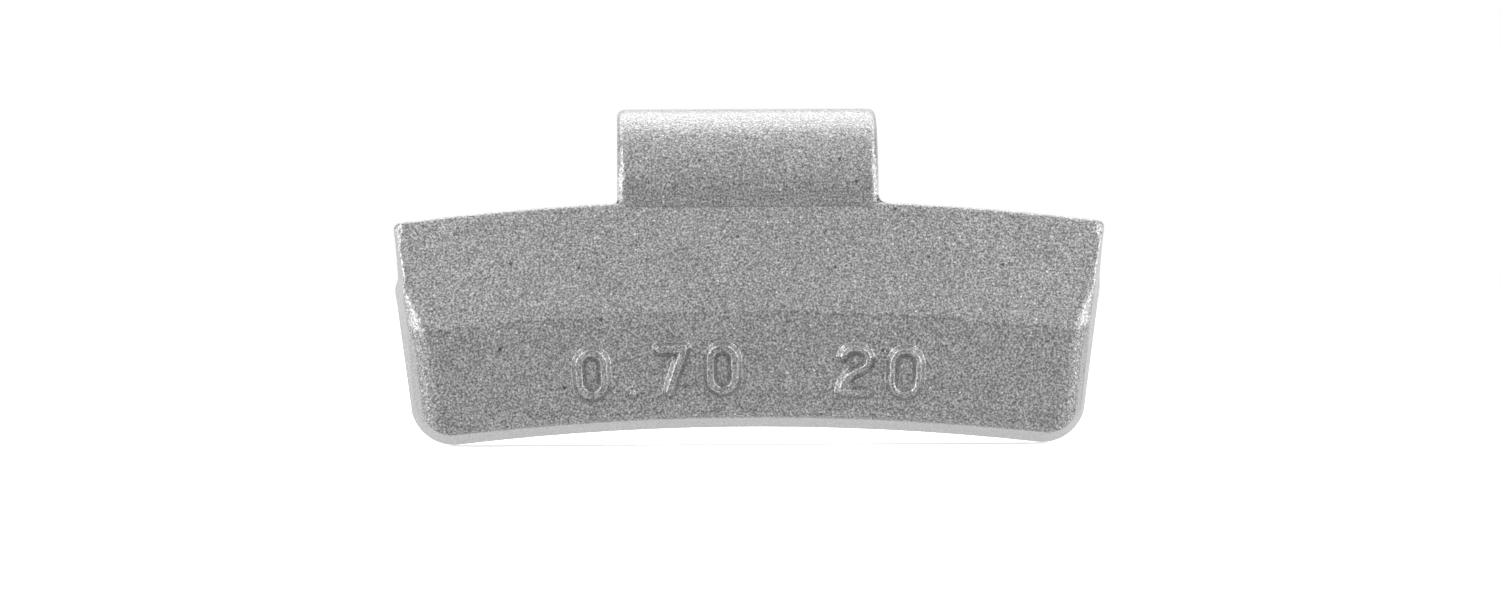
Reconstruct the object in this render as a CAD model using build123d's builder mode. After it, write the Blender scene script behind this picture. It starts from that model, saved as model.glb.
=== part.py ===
"""Clip-on wheel balance weight: a die-cast body with a spring-steel clip cast into it.

Millimetres. X runs along the rim, +Z points away from the hub and -Y to the outside of the
wheel. The origin is the centre of the clip's bend, half way along the clip.
"""

import os
from math import radians, sqrt, tan

from build123d import *

# Wheel: the body's arcs and ends are struck from the axle
lip_seat_radius = 177.5

# Clip: a flat strip bent over the rim's lip, with its tail held in the body
clip_width = 16.5
clip_thickness = 1.0
hook_radius = 4.9
hook_sweep = 200.0
tail_length = 8.4
tip_corner_radius = 1.2
tail_corner_cut = 1.2
clip_edge_radius = 0.5
clip_edge_bevel = 0.2
key_hole_radius = 1.5
key_hole_spacing = 8.0
key_hole_rise = 2.6

# Body, seen from the front
body_length = 45.85
body_height = 14.43
upper_face_height = 7.08
top_above_bend = 0.05
bottom_corner_radius = 2.8

# Body, from front to back
upper_face_lean = 20.0
skin_over_clip = 0.3
cover_behind_clip = 1.71
draft_angle = 8.5
end_edge_radius = 1.4
bottom_edge_radius = 0.35
crease_radius = 1.0
top_edge_radius = 0.4
back_edge_bevel = 0.25
trim_overlap = 0.03
lip_clearance = 0.2
front_shutoff = 0.46
back_shutoff = 2.63

# Marks of the pins that push the casting out of the die
ejector_radius = 1.5
ejector_depth = 0.15
ejector_spacing = 30.0

# Places worked out from the sizes
outer_radius = hook_radius + clip_thickness
clip_front = -outer_radius
clip_back = -hook_radius
clip_middle = (clip_front + clip_back) / 2
wheel_z = top_above_bend - lip_seat_radius
bottom_radius = lip_seat_radius - body_height
crease_z = top_above_bend - upper_face_height
bottom_z = top_above_bend - body_height
front_shutoff_z = top_above_bend - front_shutoff
back_shutoff_z = top_above_bend - back_shutoff
slope = tan(radians(upper_face_lean))
body_front = clip_front - skin_over_clip - slope * (front_shutoff_z - crease_z)
body_back = clip_back + cover_behind_clip
body_depth = body_back - body_front
axle = Axis((0, 0, wheel_z), (0, 1, 0))
back_plane = Plane.XZ.offset(-body_back)


def spans_thickness(edge):
    """True for an edge that runs straight through the strip."""
    return abs(edge.length - clip_thickness) < 1e-6


def ring_sector(length, outer, inner):
    """Sketches a length of the ring about the axle, with its ends square to the ring."""
    with Locations((0, wheel_z)):
        Circle(outer)
        Circle(inner, mode=Mode.SUBTRACT)
    end_rise = sqrt(lip_seat_radius**2 - (length / 2) ** 2)
    far_ends = [(side * length, wheel_z + 2 * end_rise) for side in (1, -1)]
    Polygon((0, wheel_z), *far_ends, align=None, mode=Mode.INTERSECT)


with BuildPart() as rim_clip:
    with BuildSketch(Plane.YZ):
        with BuildLine():
            outer_bend = CenterArc((0, 0), outer_radius, 180, -hook_sweep)
            inner_bend = CenterArc((0, 0), hook_radius, 180, -hook_sweep)
            front_leg = Line(outer_bend @ 0, (clip_front, -tail_length))
            back_leg = Line(inner_bend @ 0, (clip_back, -tail_length))
            Line(outer_bend @ 1, inner_bend @ 1)
            Line(front_leg @ 1, back_leg @ 1)
        make_face()
    extrude(amount=clip_width / 2, both=True)
    tail_corners = rim_clip.edges().filter_by(spans_thickness).group_by(Axis.Z)[0]
    chamfer(tail_corners, tail_corner_cut)
    tip_corners = rim_clip.edges().filter_by(spans_thickness).group_by(Axis.Y)[-1]
    fillet(tip_corners, tip_corner_radius)

    # The strip's edges, rolled outside the bend and bevelled inside it, with the leg's
    bends = rim_clip.faces().filter_by(Axis.X).edges().filter_by(GeomType.CIRCLE)
    fillet(bends.group_by(SortBy.RADIUS)[-1], clip_edge_radius)
    bends = rim_clip.faces().filter_by(Axis.X).edges().filter_by(GeomType.CIRCLE)
    chamfer(bends.group_by(SortBy.RADIUS)[0], clip_edge_bevel)

    # Holes in the tail, which the cast metal fills
    with BuildSketch(Plane.XZ.offset(outer_radius)):
        with Locations((0, key_hole_rise - tail_length)):
            with GridLocations(key_hole_spacing, 0, 2, 1):
                Circle(key_hole_radius)
    extrude(amount=-clip_thickness, mode=Mode.SUBTRACT)

with BuildPart() as bottom_form:
    # Bottom wall and corners, which the block is trimmed to
    with BuildSketch(back_plane) as outline:
        ring_sector(body_length + 2 * trim_overlap, lip_seat_radius + body_height, bottom_radius)
        fillet(outline.vertices().group_by(Axis.Y)[0], bottom_corner_radius)
    extrude(amount=body_depth + trim_overlap)
    walls = bottom_form.faces().filter_by(Axis.Y, reverse=True).sort_by(Axis.Z)
    draft(walls[:-1], back_plane, draft_angle)
    front_face = bottom_form.faces().sort_by(Axis.Y)[0]
    fillet(front_face.edges().sort_by(Axis.Z)[:-1], bottom_edge_radius)
    back_face = bottom_form.faces().sort_by(Axis.Y)[-1]
    chamfer(back_face.edges().sort_by(Axis.Z)[:-1], back_edge_bevel)

with BuildPart() as weight_body:
    # Block whose ends and bottom are drafted, widest at the back
    with BuildSketch(back_plane):
        ring_sector(body_length, lip_seat_radius, bottom_radius - bottom_corner_radius)
    extrude(amount=body_depth)
    walls = weight_body.faces().filter_by(Axis.Y, reverse=True).sort_by(Axis.Z)
    draft(walls[:-1], back_plane, draft_angle)
    front_face = weight_body.faces().sort_by(Axis.Y)[0]
    fillet(front_face.edges().filter_by(GeomType.LINE), end_edge_radius)

    # Upper face, a cone about the axle that leans back from the crease to the top edge
    with BuildSketch(Plane.YZ):
        low = (body_front - slope * upper_face_height, crease_z - upper_face_height)
        high = (body_front + slope * body_height, crease_z + body_height)
        Polygon(low, high, (low[0], high[1]), align=None)
    revolve(axis=axle, mode=Mode.SUBTRACT)
    upper_face = weight_body.faces().filter_by(GeomType.CONE).sort_by(SortBy.AREA)[-1]
    fillet(upper_face.edges().sort_by(Axis.Z)[:-1], crease_radius)
    top_face = weight_body.faces().sort_by(Axis.Z)[-1]
    fillet(top_face.edges().sort_by(Axis.Y)[:-1], top_edge_radius)

    # Cove behind the top edge, where the rim's lip beds
    with BuildSketch(Plane.YZ):
        Circle(hook_radius + lip_clearance)
    revolve(axis=axle, mode=Mode.SUBTRACT)
    back_face = weight_body.faces().sort_by(Axis.Y)[-1]
    cove_face = weight_body.faces().filter_by(GeomType.TORUS).sort_by(SortBy.AREA)[-1]
    chamfer(back_face.edges() + cove_face.edges(), back_edge_bevel)
    add(bottom_form.part, mode=Mode.INTERSECT)

    # The die shuts on the strip above these lines, so it is bare there
    front_shut = (front_shutoff_z, clip_edge_radius, Align.MAX)
    back_shut = (back_shutoff_z, clip_edge_bevel, Align.MIN)
    for shutoff_z, covered_edge, side in (front_shut, back_shut):
        with BuildSketch(Plane.XY.offset(shutoff_z)):
            with Locations((0, clip_middle)):
                Rectangle(clip_width - 2 * covered_edge, body_depth, align=(Align.CENTER, side))
        extrude(amount=outer_radius, mode=Mode.SUBTRACT)
    add(rim_clip.part, mode=Mode.SUBTRACT)

    with BuildSketch(back_plane):
        with Locations((0, (crease_z + bottom_z) / 2)):
            with GridLocations(ejector_spacing, 0, 2, 1):
                Circle(ejector_radius)
    extrude(amount=ejector_depth, mode=Mode.SUBTRACT)

rim_clip.part.label = "rim_clip"
weight_body.part.label = "weight_body"
os.makedirs("parts", exist_ok=True)
export_step(rim_clip.part, "parts/rim_clip.step")
export_step(weight_body.part, "parts/weight_body.step")
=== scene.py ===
"""Looks of a clip-on wheel balance weight: its silver-grey coat, its cast numerals and a studio."""

import math

import bmesh
import bpy
import numpy as np
from mathutils import Matrix, Vector


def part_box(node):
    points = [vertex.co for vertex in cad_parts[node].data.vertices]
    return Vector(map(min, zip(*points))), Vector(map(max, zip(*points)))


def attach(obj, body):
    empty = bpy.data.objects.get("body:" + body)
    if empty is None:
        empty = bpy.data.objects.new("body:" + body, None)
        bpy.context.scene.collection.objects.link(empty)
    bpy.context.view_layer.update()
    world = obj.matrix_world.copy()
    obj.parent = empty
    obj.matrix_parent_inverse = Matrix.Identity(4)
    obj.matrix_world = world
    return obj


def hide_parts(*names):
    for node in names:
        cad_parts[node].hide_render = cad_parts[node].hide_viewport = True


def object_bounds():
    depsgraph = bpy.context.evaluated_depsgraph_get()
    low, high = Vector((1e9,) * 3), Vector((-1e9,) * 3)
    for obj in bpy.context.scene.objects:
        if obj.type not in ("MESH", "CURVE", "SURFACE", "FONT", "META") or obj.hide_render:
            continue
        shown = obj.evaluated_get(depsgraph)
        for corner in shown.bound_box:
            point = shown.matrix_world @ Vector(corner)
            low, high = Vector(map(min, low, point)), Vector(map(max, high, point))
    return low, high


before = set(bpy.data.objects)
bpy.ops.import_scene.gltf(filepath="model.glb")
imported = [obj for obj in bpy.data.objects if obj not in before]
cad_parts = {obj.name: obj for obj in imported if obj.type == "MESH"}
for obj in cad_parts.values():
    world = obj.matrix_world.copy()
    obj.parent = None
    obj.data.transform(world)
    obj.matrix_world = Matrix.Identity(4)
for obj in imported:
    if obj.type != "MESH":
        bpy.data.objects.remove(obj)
cad_low, cad_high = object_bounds()

MM = 0.001

# Camera: nearly straight on, framed as the photograph is
photo_width = 1500
photo_pixel = 0.06327 * MM
view_centre = Vector((0.115, -4.5, -6.57)) * MM
view_roll = math.radians(0.26)
view_turn = math.radians(1.1)
view_drop = math.radians(0.4)
lens_length = 150.0
sensor_size = 36.0
nearest_view = 10 * MM

# The weight's own sizes
top_radius = 177.5 * MM
top_above_bend = 0.05 * MM
body_length = 45.85 * MM
body_height = 14.43 * MM
upper_face_height = 7.08 * MM
upper_lean = math.radians(20)
end_draft = math.radians(8.5)
clip_width = 16.5 * MM
clip_thickness = 1.0 * MM
bend_radius = 4.9 * MM
lip_clearance = 0.2 * MM

# Arcs about the wheel's axle, and the cove behind the top edge
axle_z = top_above_bend - top_radius
crease_radius = top_radius - upper_face_height
bottom_radius = top_radius - body_height
cove_radius = bend_radius + lip_clearance

# Upper ends: set in above a small notch, with front edges that sharpen from the crease to that notch
taper_radius = crease_radius + 1.0 * MM
notch_radius = crease_radius + 3.0 * MM
notch_rise = 0.6 * MM
corner_start = top_radius - 1.5 * MM
corner_end = top_radius + 0.8 * MM
upper_end_zone = 1.0 * MM
upper_end_edge = 0.15
cove_margin = 0.3 * MM
left_set_in = 0.2 * MM
right_set_in = 0.05 * MM

# Lower ends: their walls lean in more towards the front, and meet it in a tighter rounding
lower_end_zone = 1.25 * MM
lower_end_lean = 0.25 * MM
lower_end_edge = 0.65
lean_top = crease_radius + 0.4 * MM
lean_full = crease_radius - 0.8 * MM
lean_corner = bottom_radius + 2.93 * MM
lean_bottom = bottom_radius + 0.93 * MM
lean_cuts = 5

# Bottom edge: its rounding grows between the bottom corners
foot_zone = 0.4 * MM
foot_growth = 2.3
foot_half_length = 15.0 * MM
foot_taper = 4.0 * MM

# Meshes: points closer than the weld gap are joined, and edges past the sharp angle stay sharp
weld_gap = 0.001 * MM
sharp_angle = math.radians(30)

# Cast numerals: sizes are to the middle of a stroke's flanks
numeral_radius = crease_radius - 3.55 * MM
numeral_height = 3.3 * MM
numeral_width = 2.2 * MM
numeral_pitch = 3.15 * MM
point_pitch = 1.9 * MM
relief_height = 0.45 * MM
relief_sink = 0.02 * MM
relief_root = 0.15 * MM
relief_step = 0.035 * MM
grams_centre_x = 8.18 * MM
grams_stroke = 0.55 * MM
grams_flank = 0.45 * MM
ounces_centre_x = -5.8 * MM
ounces_stroke = 0.65 * MM
ounces_flank = 0.4 * MM

# Forms of the 2 and the 7: angles in degrees, and shares of a sign's half height or half width
two_bowl_start = 165
two_bowl_end = -60
two_neck_lead = 0.08
two_neck_trail = 0.3
seven_foot = 0.3

# Webs of coat in the corners between the clip and the body's top edge
left_web = 0.2 * MM
right_web = 0.45 * MM
web_sink = 0.1 * MM
web_front_gap = 0.2 * MM
web_back_gap = 0.15 * MM
web_front_y = web_front_gap - clip_thickness - bend_radius
web_back_y = -web_back_gap - bend_radius

# Coat: grey levels are linear, and positions are along a noise from 0 to 1
coat_metallic = 0.8
coat_roughness = 0.38
lacquer_weight = 0.5
lacquer_roughness = 0.18
coat_grey = 0.253
coat_dark = 0.07
coat_light = 0.57
grain_size = 0.12 * MM
grain_depth = 0.005 * MM
grain_spread = 0.235
mottle_size = 1.4 * MM
mottle_spread = 0.2
mottle_dark = 0.9
# Painted glints: brighter specks painted into the colour where the coat's flakes catch the light
glint_spacing = 0.75 * MM
glint_radius = 0.07 * MM
glint_cover = 0.9
glint_level = 0.75
# Painted shade: darker dots painted into the colour for the shade inside small pits of the coat
pit_shade_spacing = 1.7 * MM
pit_shade_radius = 0.14 * MM
pit_shade_level = 0.3
speck_core = 0.6
peel_size = 0.6 * MM
peel_depth = 0.05 * MM

# Studio: the lamps are turned to the middle of the CAD box
floor_size = 3000 * MM
floor_drop = 0.01 * MM
floor_grey = 0.9
floor_roughness = 0.9
floor_lift = 0.5
world_light = 0.95
world_front = 0.42
right_level = 0.75
lamp_target = (cad_low + cad_high) / 2


def share(value, start, end):
    """How far a value has come from one level to another, from 0 to 1."""
    return min(max((value - start) / (end - start), 0), 1)


def arc(centre_x, centre_z, radius_x, radius_z, start, end, count=24):
    """Points on part of an ellipse, from one angle to another in degrees."""
    angles = np.radians(np.linspace(start, end, count))
    return np.column_stack([centre_x + radius_x * np.cos(angles), centre_z + radius_z * np.sin(angles)])


def bend(start, lead, trail, end, count=16):
    """Points on a cubic curve between two ends."""
    t = np.linspace(0, 1, count)[:, None]
    start, lead, trail, end = (np.array(p) for p in (start, lead, trail, end))
    return start * (1 - t) ** 3 + lead * 3 * t * (1 - t) ** 2 + trail * 3 * t * t * (1 - t) + end * t ** 3


def new_mesh(name, points, faces):
    """A mesh of points and faces, shaded smooth."""
    mesh = bpy.data.meshes.new(name)
    mesh.from_pydata(points, [], faces)
    mesh.validate()
    mesh.shade_smooth()
    return mesh


def new_piece(name, mesh, material):
    """A coated piece of the part, which rides on its one body."""
    mesh.materials.clear()
    mesh.materials.append(material)
    piece = bpy.data.objects.new(name, mesh)
    bpy.context.scene.collection.objects.link(piece)
    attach(piece, "root")
    return piece


def numeral_path(sign, stroke):
    """Middle line of a sign's stroke, about the sign's own centre."""
    half_x = (numeral_width - stroke) / 2
    half_z = (numeral_height - stroke) / 2
    if sign == "0":
        top = arc(0, half_z - half_x, half_x, half_x, 180, 0)
        return np.vstack([top, -top, top[:1]])
    if sign == "2":
        bowl = arc(0, half_z / 2, half_x, half_z / 2, two_bowl_start, two_bowl_end)
        lead = (0, -half_z * two_neck_lead)
        trail = (-half_x, -half_z * two_neck_trail)
        neck = bend(bowl[-1], lead, trail, (-half_x, -half_z))
        return np.vstack([bowl, neck, [(half_x, -half_z)]])
    if sign == "7":
        return np.array([(-half_x, half_z), (half_x, half_z), (-half_x * seven_foot, -half_z)])
    return np.array([(0, -half_z), (0, -half_z)])


def distance_to_path(points, path):
    """Distance of each point from the nearest stretch of a path, whose stretches may be points."""
    nearest = np.full(len(points), np.inf)
    for start, end in zip(path[:-1], path[1:]):
        run = end - start
        square = float(run @ run) or 1.0
        along = np.clip((points - start) @ run / square, 0, 1)
        gap = np.linalg.norm(points - start - along[:, None] * run, axis=1)
        nearest = np.minimum(nearest, gap)
    return nearest


def relief(depth, flank):
    """Height of a cast stroke at a depth inside its edge: it rises smoothly over its flank."""
    climb = np.clip(depth / flank + 0.5, 0, 1)
    return relief_height * climb * climb * (3 - 2 * climb) - relief_sink


def numeral_mesh(sign, stroke, flank):
    """Closed mesh of one raised sign, as points and faces, rooted below the face it stands on."""
    reach_x = numeral_width / 2 + flank / 2 + relief_step
    reach_z = numeral_height / 2 + flank / 2 + relief_step
    columns = np.arange(-reach_x, reach_x, relief_step)
    rows = np.arange(-reach_z, reach_z, relief_step)
    grid_x, grid_z = np.meshgrid(columns, rows, indexing="ij")
    flat = np.column_stack([grid_x.ravel(), grid_z.ravel()])
    gap = distance_to_path(flat, numeral_path(sign, stroke))
    height = relief(stroke / 2 - gap, flank).reshape(grid_x.shape)
    proud = height > -relief_sink
    kept = proud[:-1, :-1] | proud[1:, :-1] | proud[:-1, 1:] | proud[1:, 1:]
    points, faces, index = [], [], {}

    def corner(i, j, top):
        """Number of a grid corner's point, on the relief or at its root."""
        if (i, j, top) not in index:
            index[i, j, top] = len(points)
            points.append((columns[i], -height[i, j] if top else relief_root, rows[j]))
        return index[i, j, top]

    for i, j in np.argwhere(kept):
        ring = [(i, j), (i + 1, j), (i + 1, j + 1), (i, j + 1)]
        faces.append([corner(*c, True) for c in ring])
        faces.append([corner(*c, False) for c in reversed(ring)])
        beside = [(i, j - 1), (i + 1, j), (i, j + 1), (i - 1, j)]
        for a, b, (m, n) in zip(ring, ring[1:] + ring[:1], beside):
            inside = 0 <= m < kept.shape[0] and 0 <= n < kept.shape[1] and kept[m, n]
            if not inside:
                faces.append([corner(*b, True), corner(*a, True), corner(*a, False), corner(*b, False)])
    return points, faces


def build_numerals(name, signs, centre_x, stroke, flank, face_y, material):
    """A row of raised signs that follows the weight's arc."""
    pitches = [point_pitch if sign == "." else numeral_pitch for sign in signs]
    run = sum(pitches) - (pitches[0] + pitches[-1]) / 2
    place = centre_x - run / 2
    points, faces = [], []
    for number, sign in enumerate(signs):
        if number:
            place += (pitches[number - 1] + pitches[number]) / 2
        turn = Matrix.Rotation(place / numeral_radius, 4, "Y")
        stand = Matrix.Translation((0, face_y, axle_z)) @ turn @ Matrix.Translation((0, 0, numeral_radius))
        sign_points, sign_faces = numeral_mesh(sign, stroke, flank)
        start = len(points)
        points += [stand @ Vector(p) for p in sign_points]
        faces += [[start + k for k in face] for face in sign_faces]
    new_piece(name, new_mesh(name, points, faces), material)


def end_directions(side):
    """Directions at one end: up along it, out of it, and out of its drafted wall."""
    turn = math.asin(body_length / 2 / top_radius)
    rising = Vector((side * math.sin(turn), 0, math.cos(turn)))
    outward = Vector((side * math.cos(turn), 0, -math.sin(turn)))
    wall_out = outward * math.cos(end_draft) + Vector((0, -math.sin(end_draft), 0))
    return rising, outward, wall_out


def cut_end(shell, side, axle, rising, radii):
    """Adds edges across one end at distances from the axle."""
    for radius in radii:
        near = [face for face in shell.faces if side * face.calc_center_median().x > body_length / 4]
        near += list({edge for face in near for edge in face.edges})
        near += list({vert for face in near for vert in face.verts})
        bmesh.ops.bisect_plane(shell, geom=near, plane_co=axle + rising * radius, plane_no=rising)


def lean_end(shell, side, front_y, back_y):
    """Leans one lower end's wall in towards the front, between the crease and the bottom corner."""
    rising, outward, wall_out = end_directions(side)
    axle = Vector((0, back_y, axle_z))
    cut_end(shell, side, axle, rising, np.linspace(lean_full, lean_top, lean_cuts))
    for vert in shell.verts:
        arm = vert.co - axle
        height = arm.dot(rising)
        under_wall = -arm.dot(wall_out)
        under_face = vert.co.y - front_y
        if max(under_wall, under_face) > lower_end_zone:
            continue
        amount = share(height, lean_top, lean_full) * share(height, lean_bottom, lean_corner)
        inward = lower_end_lean * (1 - under_wall / lower_end_zone) * amount
        forward = (1 - lower_end_edge) * under_face * amount
        vert.co -= outward * inward + Vector((0, forward, 0))


def shape_end(shell, side, set_in, front_y, back_y):
    """Sets one upper end in above its notch, and draws its rounded front edge out to a sharper one."""
    rising, outward, wall_out = end_directions(side)
    axle = Vector((0, back_y, axle_z))
    notch_top = notch_radius + notch_rise
    cut_end(shell, side, axle, rising, (taper_radius, notch_radius, notch_top, corner_start))
    for vert in shell.verts:
        arm = vert.co - axle
        height = arm.dot(rising)
        under_wall = -arm.dot(wall_out)
        if height < taper_radius or under_wall > upper_end_zone:
            continue
        radius = Vector((arm.x, arm.z)).length
        face_y = front_y + math.tan(upper_lean) * (radius - crease_radius)
        under_face = (vert.co.y - face_y) * math.cos(upper_lean)
        vert.co -= outward * set_in * share(height, notch_radius, notch_top)
        if under_face < upper_end_zone:
            drawn = share(height, taper_radius, notch_radius) * share(height, corner_end, corner_start)
            cove_gap = math.hypot(vert.co.y, radius + axle_z) - cove_radius
            drawn *= (1 - upper_end_edge) * share(cove_gap, cove_margin, 2 * cove_margin)
            forward = drawn * under_face / math.cos(upper_lean)
            sideways = (drawn * under_wall - math.sin(end_draft) * forward) / math.cos(end_draft)
            vert.co += outward * sideways + Vector((0, -forward, 0))


def round_foot(shell, front_y, back_y):
    """Widens the rounding along the bottom edge, which fades out towards the bottom corners."""
    for vert in shell.verts:
        radial = Vector((vert.co.x, 0, vert.co.z - axle_z))
        wall_radius = bottom_radius + math.tan(end_draft) * (back_y - vert.co.y)
        under_wall = (radial.length - wall_radius) * math.cos(end_draft)
        under_face = vert.co.y - front_y
        if max(under_wall, under_face) > foot_zone:
            continue
        amount = share(abs(vert.co.x), foot_half_length + foot_taper, foot_half_length)
        growth = (foot_growth - 1) * amount
        back = growth * under_face
        rise = (growth * under_wall - math.sin(end_draft) * back) / math.cos(end_draft)
        vert.co += radial.normalized() * rise + Vector((0, back, 0))


def build_body(material):
    """The cast body: its node's own mesh, with its ends and bottom edge as the photograph shows them."""
    low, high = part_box("weight_body")
    shell = bmesh.new()
    shell.from_mesh(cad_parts["weight_body"].data)
    bmesh.ops.remove_doubles(shell, verts=shell.verts, dist=weld_gap)
    for side, set_in in ((-1, left_set_in), (1, right_set_in)):
        lean_end(shell, side, low.y, high.y)
        shape_end(shell, side, set_in, low.y, high.y)
    round_foot(shell, low.y, high.y)
    mesh = bpy.data.meshes.new("cast_body")
    shell.to_mesh(mesh)
    shell.free()
    if "custom_normal" in mesh.attributes:
        mesh.attributes.remove(mesh.attributes["custom_normal"])
    mesh.shade_smooth()
    mesh.set_sharp_from_angle(angle=sharp_angle)
    piece = new_piece("cast_body", mesh, material)
    piece.modifiers.new("even_shading", "WEIGHTED_NORMAL").keep_sharp = True
    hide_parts("weight_body")


def build_webs(material):
    """Hollow webs of coat where the clip's sides meet the body's top edge."""
    wall_x = clip_width / 2
    top_z = axle_z + math.sqrt(top_radius ** 2 - wall_x ** 2)
    points, faces = [], []
    for side, radius in ((-1, left_web), (1, right_web)):
        hollow = arc(wall_x + radius, top_z + radius, radius, radius, 180, 270, count=9)
        sunk = [(wall_x + radius, top_z - web_sink), (wall_x - web_sink, top_z - web_sink),
                (wall_x - web_sink, top_z + radius)]
        outline = [(side * x, z) for x, z in [*hollow, *sunk]]
        front, count = len(points), len(outline)
        back = front + count
        for y in (web_front_y, web_back_y):
            points += [(x, y, z) for x, z in outline]
        rings = [list(range(front, back)), list(range(back + count - 1, back - 1, -1))]
        for n in range(count):
            m = (n + 1) % count
            rings.append([front + m, front + n, back + n, back + m])
        faces += rings if side < 0 else [ring[::-1] for ring in rings]
    mesh = new_mesh("coat_webs", points, faces)
    mesh.set_sharp_from_angle(angle=sharp_angle)
    new_piece("coat_webs", mesh, material)


def link_mix(tree, blend, factor, first, second):
    """A colour mix, whose factor and two sides are numbers or sockets."""
    mix = tree.nodes.new("ShaderNodeMix")
    mix.data_type = "RGBA"
    mix.blend_type = blend
    if isinstance(factor, float):
        mix.inputs["Factor"].default_value = factor
    else:
        tree.links.new(factor, mix.inputs["Factor"])
    for socket, source in zip((mix.inputs["A"], mix.inputs["B"]), (first, second)):
        if isinstance(source, float):
            socket.default_value = (source, source, source, 1)
        else:
            tree.links.new(source, socket)
    return mix.outputs["Result"]


def noise(tree, place, size, detail):
    """Noise whose features are about as large as a size in metres."""
    node = tree.nodes.new("ShaderNodeTexNoise")
    node.inputs["Scale"].default_value = 1 / size
    node.inputs["Detail"].default_value = detail
    tree.links.new(place, node.inputs["Vector"])
    return node.outputs["Fac"]


def ramp(tree, value, stops):
    """Grey levels between positions of a value."""
    node = tree.nodes.new("ShaderNodeValToRGB")
    elements = node.color_ramp.elements
    while len(elements) < len(stops):
        elements.new(0.5)
    for element, (position, level) in zip(elements, stops):
        element.position = position
        element.color = (level, level, level, 1)
    tree.links.new(value, node.inputs["Fac"])
    return node.outputs["Color"]


def specks(tree, place, spacing, radius, inside, outside):
    """Scattered round specks: a level inside them and another between them."""
    node = tree.nodes.new("ShaderNodeTexVoronoi")
    node.inputs["Scale"].default_value = 1 / spacing
    tree.links.new(place, node.inputs["Vector"])
    edge = radius / spacing
    return ramp(tree, node.outputs["Distance"], [(edge * speck_core, inside), (edge, outside)])


def bump(tree, height, depth, normal=None):
    """Normals of a height that spans a depth, on top of other normals."""
    node = tree.nodes.new("ShaderNodeBump")
    node.inputs["Distance"].default_value = depth
    tree.links.new(height, node.inputs["Height"])
    if normal:
        tree.links.new(normal, node.inputs["Normal"])
    return node.outputs["Normal"]


def coat_material(name):
    """Silver-grey coat with flakes: fine grain, a faint mottle, painted glints of its flakes and the
    painted shade of a few small pits.
    """
    material = bpy.data.materials.new(name)
    material.use_nodes = True
    tree = material.node_tree
    shader = tree.nodes["Principled BSDF"]
    shader.inputs["Metallic"].default_value = coat_metallic
    shader.inputs["Roughness"].default_value = coat_roughness
    shader.inputs["Coat Weight"].default_value = lacquer_weight
    shader.inputs["Coat Roughness"].default_value = lacquer_roughness
    place = tree.nodes.new("ShaderNodeTexCoord").outputs["Object"]
    grain = noise(tree, place, grain_size, detail=2.0)
    grain_stops = [(0.5 - grain_spread, coat_dark), (0.5, coat_grey), (0.5 + grain_spread, coat_light)]
    colour = ramp(tree, grain, grain_stops)
    mottle_stops = [(0.5 - mottle_spread, mottle_dark), (0.5 + mottle_spread, 1.0)]
    mottle = ramp(tree, noise(tree, place, mottle_size, detail=3.0), mottle_stops)
    colour = link_mix(tree, "MULTIPLY", 1.0, colour, mottle)
    # Painted glints: the coat's flakes are real, their brightness here is a painted highlight in the colour
    painted_glint = specks(tree, place, glint_spacing, glint_radius, inside=glint_cover, outside=0.0)
    colour = link_mix(tree, "LIGHTEN", painted_glint, colour, glint_level)
    # Painted shade: the pits have no depth of their own, so the shade inside them is painted as darker dots
    pit_shade = specks(tree, place, pit_shade_spacing, pit_shade_radius, inside=pit_shade_level, outside=1.0)
    colour = link_mix(tree, "MULTIPLY", 1.0, colour, pit_shade)
    tree.links.new(colour, shader.inputs["Base Color"])
    peel = bump(tree, noise(tree, place, peel_size, detail=2.0), peel_depth)
    fine = bump(tree, grain, grain_depth, peel)
    tree.links.new(fine, shader.inputs["Normal"])
    return material


def either(tree, first, second):
    """The larger of two sockets."""
    node = tree.nodes.new("ShaderNodeMath")
    node.operation = "MAXIMUM"
    tree.links.new(first, node.inputs[0])
    tree.links.new(second, node.inputs[1])
    return node.outputs["Value"]


def floor_material(name):
    """White that takes the shadow, is a little lifted for the camera, and is plain white in reflections."""
    material = bpy.data.materials.new(name)
    material.use_nodes = True
    tree = material.node_tree
    shader = tree.nodes["Principled BSDF"]
    shader.inputs["Base Color"].default_value = (floor_grey, floor_grey, floor_grey, 1)
    shader.inputs["Roughness"].default_value = floor_roughness
    shader.inputs["Specular IOR Level"].default_value = 0.0
    shader.inputs["Emission Color"].default_value = (1, 1, 1, 1)
    path = tree.nodes.new("ShaderNodeLightPath")
    lift = tree.nodes.new("ShaderNodeMath")
    lift.operation = "MULTIPLY"
    lift.inputs[1].default_value = floor_lift
    tree.links.new(path.outputs["Is Camera Ray"], lift.inputs[0])
    tree.links.new(lift.outputs["Value"], shader.inputs["Emission Strength"])
    white = tree.nodes.new("ShaderNodeEmission")
    mix = tree.nodes.new("ShaderNodeMixShader")
    mirrored = either(tree, path.outputs["Is Glossy Ray"], path.outputs["Is Transmission Ray"])
    tree.links.new(mirrored, mix.inputs["Fac"])
    tree.links.new(shader.outputs["BSDF"], mix.inputs[1])
    tree.links.new(white.outputs["Emission"], mix.inputs[2])
    tree.links.new(mix.outputs["Shader"], tree.nodes["Material Output"].inputs["Surface"])
    return material


def build_floor(height):
    """A wide white floor just under the object."""
    half = floor_size / 2
    corners = [(-half, -half, height), (half, -half, height), (half, half, height), (-half, half, height)]
    mesh = bpy.data.meshes.new("floor")
    mesh.from_pydata(corners, [], [(0, 1, 2, 3)])
    mesh.materials.append(floor_material("floor_white"))
    floor = bpy.data.objects.new("floor", mesh)
    bpy.context.scene.collection.objects.link(floor)


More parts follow.
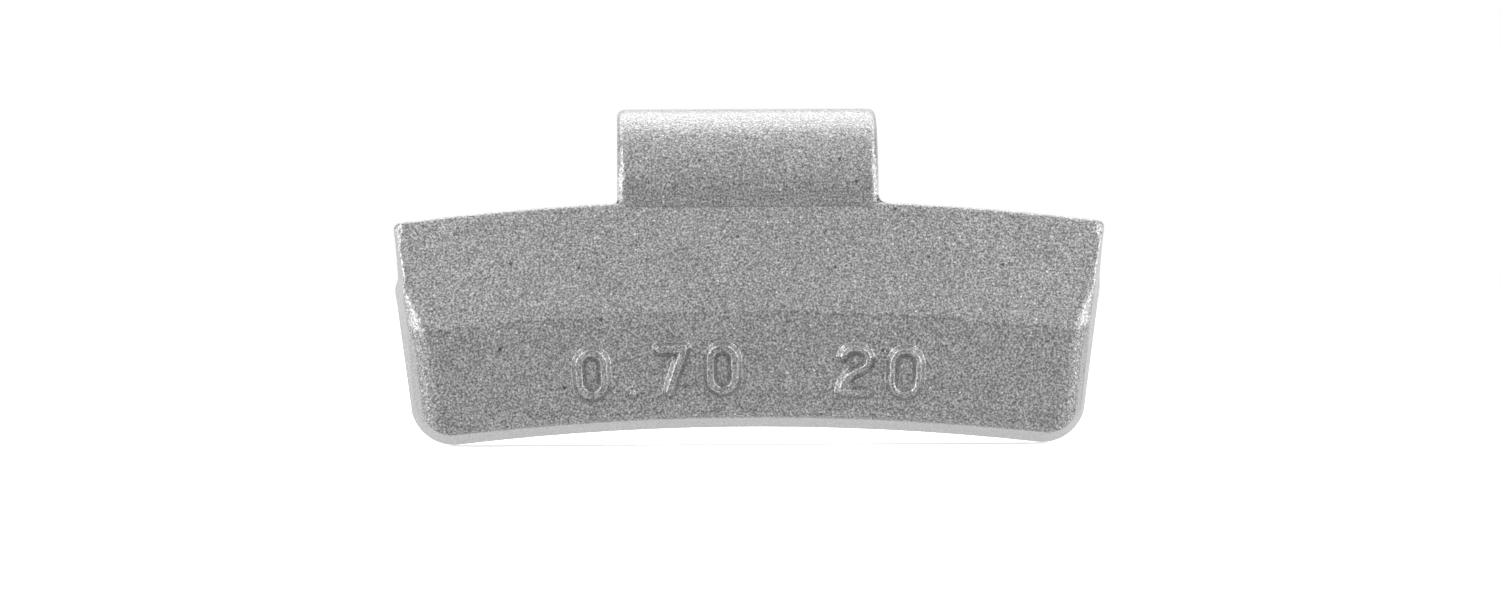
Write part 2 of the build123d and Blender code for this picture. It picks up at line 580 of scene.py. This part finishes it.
def build_world():
    """A plain light world that shows as white, and is dimmer in reflections of the front."""
    world = bpy.data.worlds.new("studio")
    bpy.context.scene.world = world
    world.use_nodes = True
    tree = world.node_tree
    background = tree.nodes["Background"]
    background.inputs["Color"].default_value = (1, 1, 1, 1)
    background.inputs["Strength"].default_value = world_light
    white = tree.nodes.new("ShaderNodeBackground")
    white.inputs["Color"].default_value = (1, 1, 1, 1)

    # A direction's Y is -1 straight in front of the object and 0 beside it
    direction = tree.nodes.new("ShaderNodeSeparateXYZ")
    tree.links.new(tree.nodes.new("ShaderNodeTexCoord").outputs["Generated"], direction.inputs["Vector"])
    shade = tree.nodes.new("ShaderNodeMapRange")
    shade.inputs["From Min"].default_value = -1.0
    shade.inputs["From Max"].default_value = 0.0
    shade.inputs["To Min"].default_value = world_front
    shade.inputs["To Max"].default_value = 1.0
    tree.links.new(direction.outputs["Y"], shade.inputs["Value"])
    path = tree.nodes.new("ShaderNodeLightPath")
    bright = either(tree, shade.outputs["Result"], path.outputs["Is Camera Ray"])
    tree.links.new(bright, white.inputs["Strength"])
    mirrored = either(tree, path.outputs["Is Glossy Ray"], path.outputs["Is Transmission Ray"])
    seen = either(tree, path.outputs["Is Camera Ray"], mirrored)
    mix = tree.nodes.new("ShaderNodeMixShader")
    tree.links.new(seen, mix.inputs["Fac"])
    tree.links.new(background.outputs["Background"], mix.inputs[1])
    tree.links.new(white.outputs["Background"], mix.inputs[2])
    tree.links.new(mix.outputs["Shader"], tree.nodes["World Output"].inputs["Surface"])


def softbox(name, place, size, radiance):
    """A soft lamp of an even brightness, with its place and size in metres."""
    width, height = size
    light = bpy.data.lights.new(name, "AREA")
    light.shape = "RECTANGLE"
    light.size = width
    light.size_y = height
    light.energy = radiance * math.pi * width * height
    lamp = bpy.data.objects.new(name, light)
    lamp.location = place
    lamp.rotation_euler = (lamp_target - Vector(place)).to_track_quat("-Z", "Y").to_euler()
    bpy.context.scene.collection.objects.link(lamp)


def build_lamps():
    """Softboxes behind, above and in front, and five lamps at each side, some weaker on the right."""
    softbox("back_softbox", place=(0, 0.2, 0.3), size=(0.6, 0.3), radiance=1.9)
    softbox("top_softbox", place=(0, -0.02, 0.4), size=(0.7, 0.3), radiance=0.3)
    softbox("front_softbox", place=(0, -0.3, 0.3), size=(0.7, 0.3), radiance=0.17)
    for side, level in ((-1, 1.0), (1, right_level)):
        softbox("key_lamp", place=(side * 0.21, -0.27, 0.25), size=(0.1, 0.1), radiance=8.0 * level)
        softbox("high_lamp", place=(side * 0.25, -0.11, 0.3), size=(0.07, 0.07), radiance=19.0 * level)
        softbox("shoulder_softbox", place=(side * 0.37, -0.15, 0.135), size=(0.44, 0.13), radiance=4.2)
        softbox("side_strip", place=(side * 0.4, 0.04, 0.02), size=(0.6, 0.08), radiance=2.6)
        softbox("corner_strip", place=(side * 0.35, -0.24, 0.02), size=(0.2, 0.08), radiance=0.9 * level)


def build_camera():
    """A camera with a long lens, a little to the left of the object and above it."""
    camera = bpy.data.cameras.new("camera")
    camera.lens = lens_length
    camera.sensor_width = sensor_size
    camera.clip_start = nearest_view
    view_width = photo_width * photo_pixel
    stand_off = view_width * lens_length / sensor_size
    holder = bpy.data.objects.new("camera", camera)
    turn = Matrix.Rotation(-view_turn, 4, "Z") @ Matrix.Rotation(-view_drop, 4, "X")
    roll = Matrix.Rotation(view_roll, 4, "Y") @ Matrix.Rotation(math.pi / 2, 4, "X")
    back_off = Matrix.Translation((0, -stand_off, 0))
    holder.matrix_world = Matrix.Translation(view_centre) @ turn @ back_off @ roll
    bpy.context.scene.collection.objects.link(holder)
    bpy.context.scene.camera = holder


coat = coat_material("silver_coat")
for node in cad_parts.values():
    for material_slot in node.material_slots:
        material_slot.material = coat
build_body(coat)
build_webs(coat)
face_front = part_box("weight_body")[0].y
build_numerals("grams_numerals", "20", grams_centre_x, grams_stroke, grams_flank, face_front, coat)
build_numerals("ounces_numerals", "0.70", ounces_centre_x, ounces_stroke, ounces_flank, face_front, coat)

build_floor(cad_low.z - floor_drop)
build_world()
build_lamps()
build_camera()
bpy.context.scene.view_settings.view_transform = "Standard"
